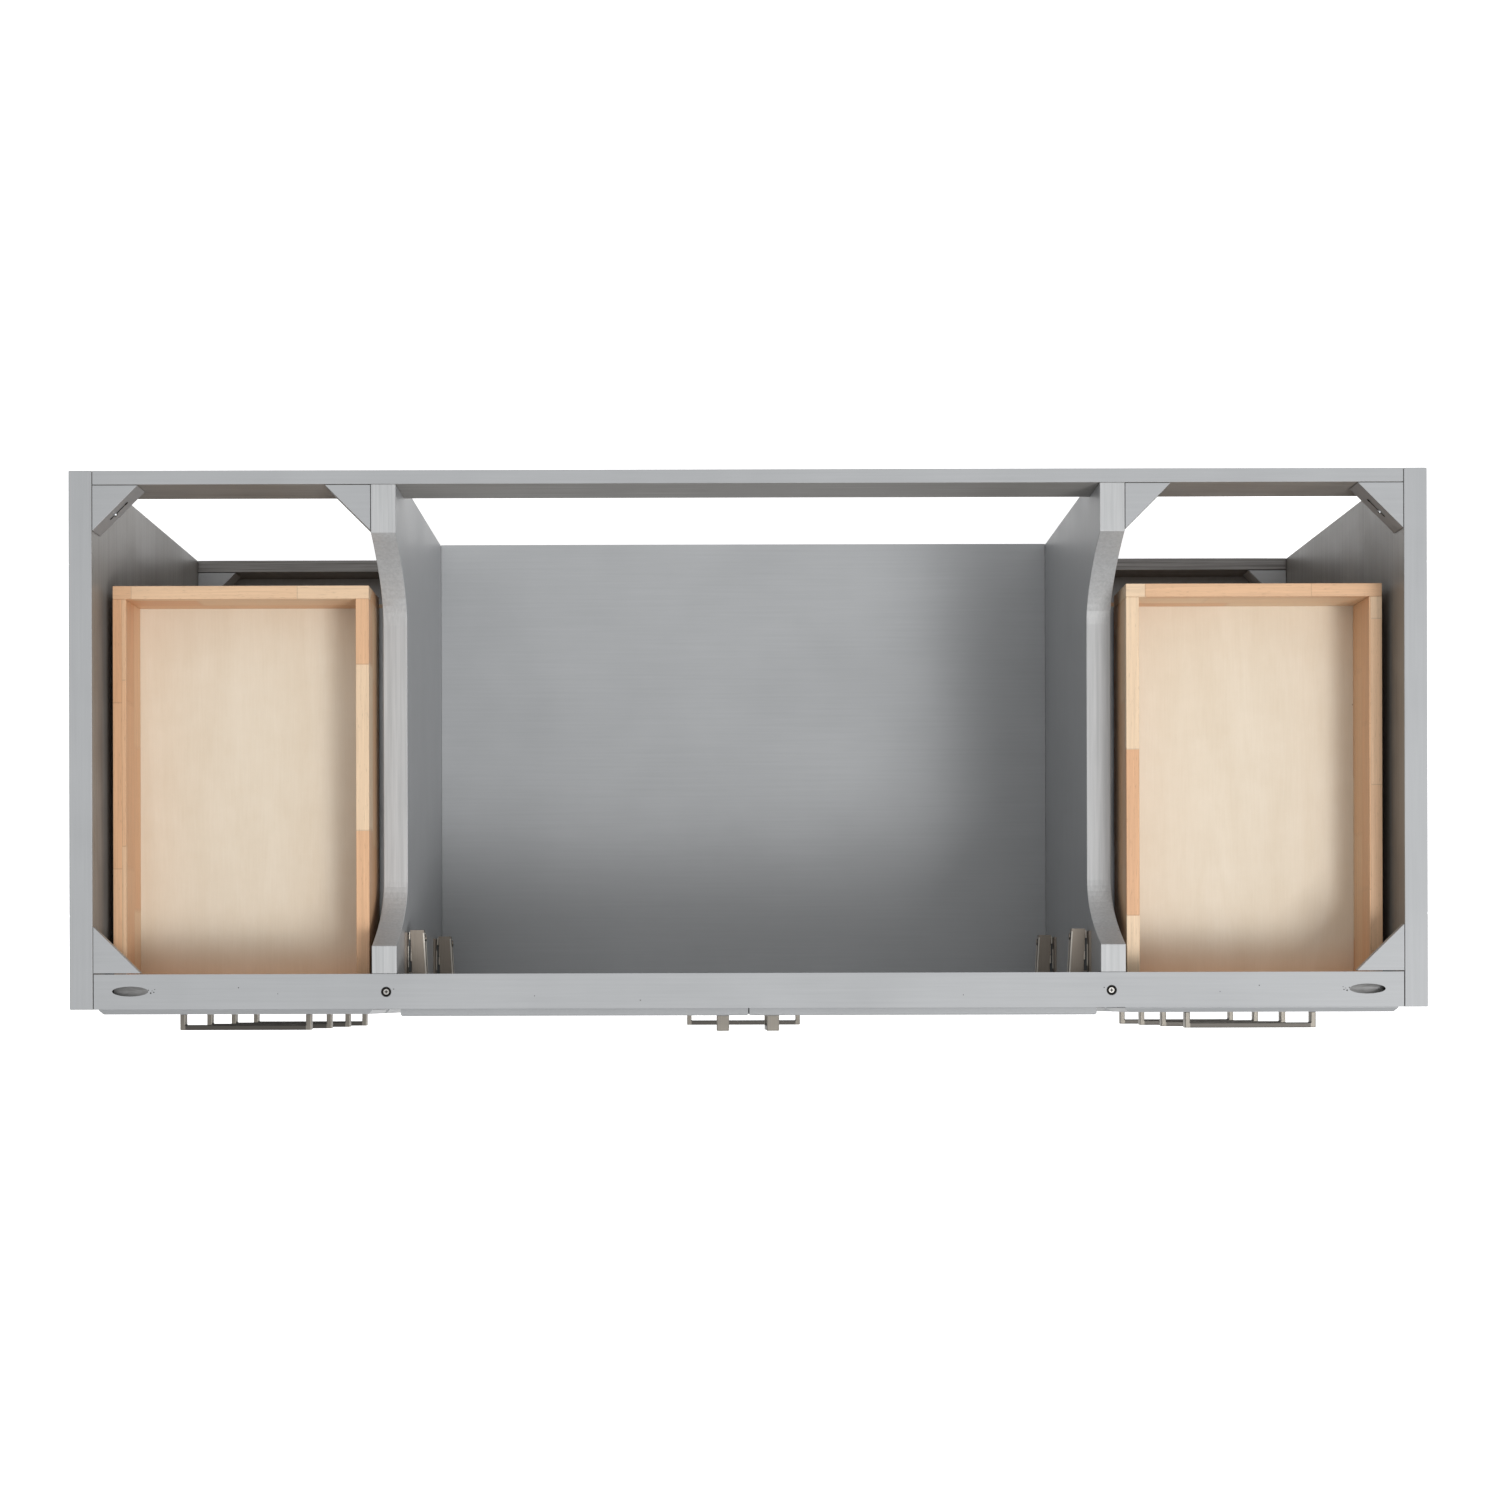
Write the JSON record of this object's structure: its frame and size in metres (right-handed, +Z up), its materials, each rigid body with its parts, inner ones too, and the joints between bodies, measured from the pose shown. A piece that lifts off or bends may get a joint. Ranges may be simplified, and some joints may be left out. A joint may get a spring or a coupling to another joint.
{
  "type": "vanity base cabinet with undermount drawer slides",
  "caption": "Freestanding grey vanity base, open on top, with columns of drawers beside a two-door cupboard over a wide drawer, all on full-extension undermount slides.",
  "frame": {"origin": "on the floor under the middle of the whole object, pulls included", "axes": "+X across the width to the right as seen from the front, +Y towards the wall, +Z up; drawers open towards -Y"},
  "size_m": [1.524, 0.6316, 0.825],
  "materials": {
    "grey_paint": "satin grey paint on wood",
    "rubberwood": "clear matt lacquer on finger-jointed rubberwood and plywood",
    "brushed_nickel": "brushed nickel plate",
    "zinc_steel": "bright zinc-plated rolled steel"
  },
  "bodies": {
    "cabinet": {"left_side_panel": "grey_paint", "right_side_panel": "grey_paint", "left_partition": "grey_paint", "right_partition": "grey_paint", "cupboard_floor": "grey_paint", "top_front_rail": "grey_paint", "front_rails": "grey_paint", "top_rear_rail": "grey_paint", "bottom_rear_rails": "grey_paint", "bottom_panels": "grey_paint", "corner_blocks": "grey_paint", "front_gussets": "grey_paint", "feet": "grey_paint", "cabinet_screws": "zinc_steel", "slide_cabinet_members": "zinc_steel", "hinge_mounts": "brushed_nickel"},
    "left_drawer_1": {"left_drawer_1_box": "rubberwood", "left_drawer_1_front": "grey_paint", "left_drawer_1_runners_and_pull": "brushed_nickel"},
    "left_drawer_1_slides": {"left_drawer_1_middle_members": "zinc_steel"},
    "left_drawer_2": {"left_drawer_2_box": "rubberwood", "left_drawer_2_front": "grey_paint", "left_drawer_2_runners_and_pull": "brushed_nickel"},
    "left_drawer_2_slides": {"left_drawer_2_middle_members": "zinc_steel"},
    "left_drawer_3": {"left_drawer_3_box": "rubberwood", "left_drawer_3_front": "grey_paint", "left_drawer_3_runners_and_pull": "brushed_nickel"},
    "left_drawer_3_slides": {"left_drawer_3_middle_members": "zinc_steel"},
    "left_drawer_4": {"left_drawer_4_box": "rubberwood", "left_drawer_4_front": "grey_paint", "left_drawer_4_runners_and_pull": "brushed_nickel"},
    "left_drawer_4_slides": {"left_drawer_4_middle_members": "zinc_steel"},
    "right_drawer_1": {"right_drawer_1_box": "rubberwood", "right_drawer_1_front": "grey_paint", "right_drawer_1_runners_and_pull": "brushed_nickel"},
    "right_drawer_1_slides": {"right_drawer_1_middle_members": "zinc_steel"},
    "right_drawer_2": {"right_drawer_2_box": "rubberwood", "right_drawer_2_front": "grey_paint", "right_drawer_2_runners_and_pull": "brushed_nickel"},
    "right_drawer_2_slides": {"right_drawer_2_middle_members": "zinc_steel"},
    "right_drawer_3": {"right_drawer_3_box": "rubberwood", "right_drawer_3_front": "grey_paint", "right_drawer_3_runners_and_pull": "brushed_nickel"},
    "right_drawer_3_slides": {"right_drawer_3_middle_members": "zinc_steel"},
    "right_drawer_4": {"right_drawer_4_box": "rubberwood", "right_drawer_4_front": "grey_paint", "right_drawer_4_runners_and_pull": "brushed_nickel"},
    "right_drawer_4_slides": {"right_drawer_4_middle_members": "zinc_steel"},
    "middle_drawer": {"middle_drawer_box": "rubberwood", "middle_drawer_front": "grey_paint", "middle_drawer_runners_and_pull": "brushed_nickel"},
    "middle_drawer_slides": {"middle_drawer_middle_members": "zinc_steel"},
    "left_door": {"left_door": "grey_paint", "left_door_pull": "brushed_nickel", "left_hinge_cups": "brushed_nickel"},
    "left_hinge_links": {"left_hinge_links": "brushed_nickel"},
    "right_door": {"right_door": "grey_paint", "right_door_pull": "brushed_nickel", "right_hinge_cups": "brushed_nickel"},
    "right_hinge_links": {"right_hinge_links": "brushed_nickel"}
  },
  "joints": [
    {"name": "left_drawer_1_slide", "type": "slide", "parent": "cabinet", "child": "left_drawer_1", "axis": [0, -1, 0], "range_m": [0, 0.45]},
    {"name": "left_drawer_1_middle_slide", "type": "slide", "parent": "cabinet", "child": "left_drawer_1_slides", "axis": [0, -1, 0], "range_m": [0, 0.225]},
    {"name": "left_drawer_2_slide", "type": "slide", "parent": "cabinet", "child": "left_drawer_2", "axis": [0, -1, 0], "range_m": [0, 0.45]},
    {"name": "left_drawer_2_middle_slide", "type": "slide", "parent": "cabinet", "child": "left_drawer_2_slides", "axis": [0, -1, 0], "range_m": [0, 0.225]},
    {"name": "left_drawer_3_slide", "type": "slide", "parent": "cabinet", "child": "left_drawer_3", "axis": [0, -1, 0], "range_m": [0, 0.45]},
    {"name": "left_drawer_3_middle_slide", "type": "slide", "parent": "cabinet", "child": "left_drawer_3_slides", "axis": [0, -1, 0], "range_m": [0, 0.225]},
    {"name": "left_drawer_4_slide", "type": "slide", "parent": "cabinet", "child": "left_drawer_4", "axis": [0, -1, 0], "range_m": [0, 0.45]},
    {"name": "left_drawer_4_middle_slide", "type": "slide", "parent": "cabinet", "child": "left_drawer_4_slides", "axis": [0, -1, 0], "range_m": [0, 0.225]},
    {"name": "right_drawer_1_slide", "type": "slide", "parent": "cabinet", "child": "right_drawer_1", "axis": [0, -1, 0], "range_m": [0, 0.45]},
    {"name": "right_drawer_1_middle_slide", "type": "slide", "parent": "cabinet", "child": "right_drawer_1_slides", "axis": [0, -1, 0], "range_m": [0, 0.225]},
    {"name": "right_drawer_2_slide", "type": "slide", "parent": "cabinet", "child": "right_drawer_2", "axis": [0, -1, 0], "range_m": [0, 0.45]},
    {"name": "right_drawer_2_middle_slide", "type": "slide", "parent": "cabinet", "child": "right_drawer_2_slides", "axis": [0, -1, 0], "range_m": [0, 0.225]},
    {"name": "right_drawer_3_slide", "type": "slide", "parent": "cabinet", "child": "right_drawer_3", "axis": [0, -1, 0], "range_m": [0, 0.45]},
    {"name": "right_drawer_3_middle_slide", "type": "slide", "parent": "cabinet", "child": "right_drawer_3_slides", "axis": [0, -1, 0], "range_m": [0, 0.225]},
    {"name": "right_drawer_4_slide", "type": "slide", "parent": "cabinet", "child": "right_drawer_4", "axis": [0, -1, 0], "range_m": [0, 0.45]},
    {"name": "right_drawer_4_middle_slide", "type": "slide", "parent": "cabinet", "child": "right_drawer_4_slides", "axis": [0, -1, 0], "range_m": [0, 0.225]},
    {"name": "middle_drawer_slide", "type": "slide", "parent": "cabinet", "child": "middle_drawer", "axis": [0, -1, 0], "range_m": [0, 0.45]},
    {"name": "middle_drawer_middle_slide", "type": "slide", "parent": "cabinet", "child": "middle_drawer_slides", "axis": [0, -1, 0], "range_m": [0, 0.225]},
    {"name": "left_door_hinge", "type": "hinge", "parent": "cabinet", "child": "left_door", "pos_m": [-0.393, -0.29725, 0.5525], "axis": [0, 0, -1], "range_deg": [0, 90]},
    {"name": "left_link_hinge", "type": "hinge", "parent": "cabinet", "child": "left_hinge_links", "pos_m": [-0.393, -0.29725, 0.5525], "axis": [0, 0, -1], "range_deg": [0, 45]},
    {"name": "right_door_hinge", "type": "hinge", "parent": "cabinet", "child": "right_door", "pos_m": [0.393, -0.29725, 0.5525], "axis": [0, 0, 1], "range_deg": [0, 90]},
    {"name": "right_link_hinge", "type": "hinge", "parent": "cabinet", "child": "right_hinge_links", "pos_m": [0.393, -0.29725, 0.5525], "axis": [0, 0, 1], "range_deg": [0, 45]}
  ],
  "couplings": [
    {"joint": "left_drawer_1_middle_slide", "follows": "left_drawer_1_slide", "ratio": 0.5},
    {"joint": "left_drawer_2_middle_slide", "follows": "left_drawer_2_slide", "ratio": 0.5},
    {"joint": "left_drawer_3_middle_slide", "follows": "left_drawer_3_slide", "ratio": 0.5},
    {"joint": "left_drawer_4_middle_slide", "follows": "left_drawer_4_slide", "ratio": 0.5},
    {"joint": "right_drawer_1_middle_slide", "follows": "right_drawer_1_slide", "ratio": 0.5},
    {"joint": "right_drawer_2_middle_slide", "follows": "right_drawer_2_slide", "ratio": 0.5},
    {"joint": "right_drawer_3_middle_slide", "follows": "right_drawer_3_slide", "ratio": 0.5},
    {"joint": "right_drawer_4_middle_slide", "follows": "right_drawer_4_slide", "ratio": 0.5},
    {"joint": "middle_drawer_middle_slide", "follows": "middle_drawer_slide", "ratio": 0.5},
    {"joint": "left_link_hinge", "follows": "left_door_hinge", "ratio": 0.5},
    {"joint": "right_link_hinge", "follows": "right_door_hinge", "ratio": 0.5}
  ]
}
